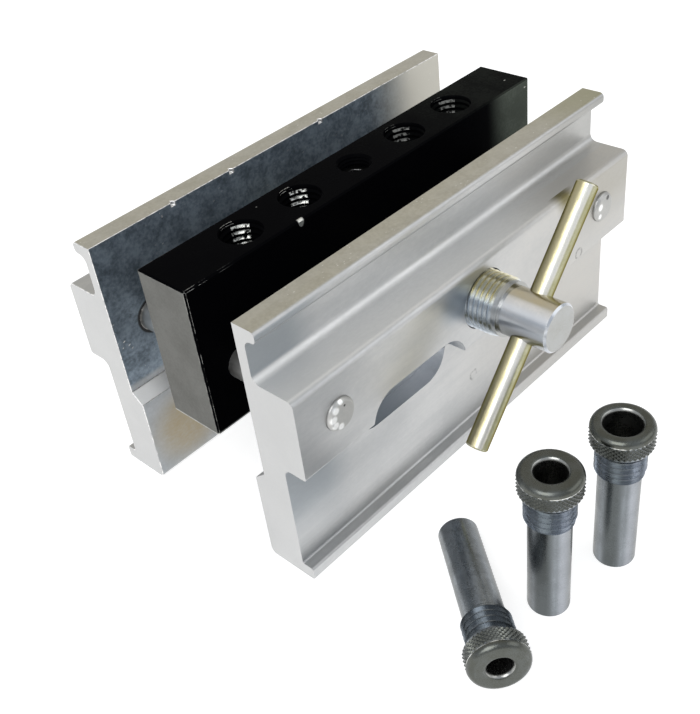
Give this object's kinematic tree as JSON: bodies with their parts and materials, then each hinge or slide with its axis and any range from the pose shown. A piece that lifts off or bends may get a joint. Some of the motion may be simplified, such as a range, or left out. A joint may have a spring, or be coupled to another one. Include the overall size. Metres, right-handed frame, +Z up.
{
  "type": "self centering doweling jig",
  "caption": "Self centering doweling jig: a drilled guide block between two jaws that one screw closes, with separate screw-in drill bushings.",
  "frame": {"origin": "centre of the guide block's underside", "axes": "+X along the jaws, -Y towards the T-bar, +Z up"},
  "size_m": [0.1501, 0.1552, 0.0835],
  "materials": {
    "black_oxide": "gloss black oxide, ground",
    "cast_aluminium": "machined and polished casting",
    "ground_rod": "ground steel",
    "zinc_screw": "bright zinc",
    "yellow_zinc": "yellow zinc",
    "black_screw": "black oxide",
    "gunmetal": "blackened and turned steel"
  },
  "bodies": {
    "block": {"guide_block": "black_oxide", "guide_rod_left": "ground_rod", "guide_rod_right": "ground_rod", "retaining_screw": "black_screw"},
    "screw": {"centre_screw": "zinc_screw", "t_bar": "yellow_zinc"},
    "front_jaw": {"front_jaw": "cast_aluminium"},
    "rear_jaw": {"rear_jaw": "cast_aluminium"},
    "small_bushing": {"small_bushing": "gunmetal"},
    "middle_bushing": {"middle_bushing": "gunmetal"},
    "large_bushing": {"large_bushing": "gunmetal"}
  },
  "joints": [
    {"name": "front_jaw_slide", "type": "slide", "parent": "block", "child": "front_jaw", "axis": [0, 1, 0], "range_m": [-0.00556, 0.01874]},
    {"name": "rear_jaw_slide", "type": "slide", "parent": "block", "child": "rear_jaw", "axis": [0, -1, 0], "range_m": [-0.00556, 0.01874]},
    {"name": "screw_turn", "type": "hinge", "parent": "block", "child": "screw", "pos_m": [0, -0.062, 0.018], "axis": [0, 1, 0], "range_deg": [-1260.1, 4250]},
    {"name": "small_bushing_lift", "type": "slide", "parent": "block", "child": "small_bushing", "axis": [0, 0, 1], "range_m": [0, 0.1]},
    {"name": "middle_bushing_lift", "type": "slide", "parent": "block", "child": "middle_bushing", "axis": [0, 0, 1], "range_m": [0, 0.1]},
    {"name": "large_bushing_lift", "type": "slide", "parent": "block", "child": "large_bushing", "axis": [0, 0, 1], "range_m": [0, 0.1]}
  ],
  "couplings": [
    {"joint": "screw_turn", "follows": "front_jaw_slide", "rad_per_m": 3957.9},
    {"joint": "rear_jaw_slide", "follows": "front_jaw_slide", "ratio": 1}
  ]
}
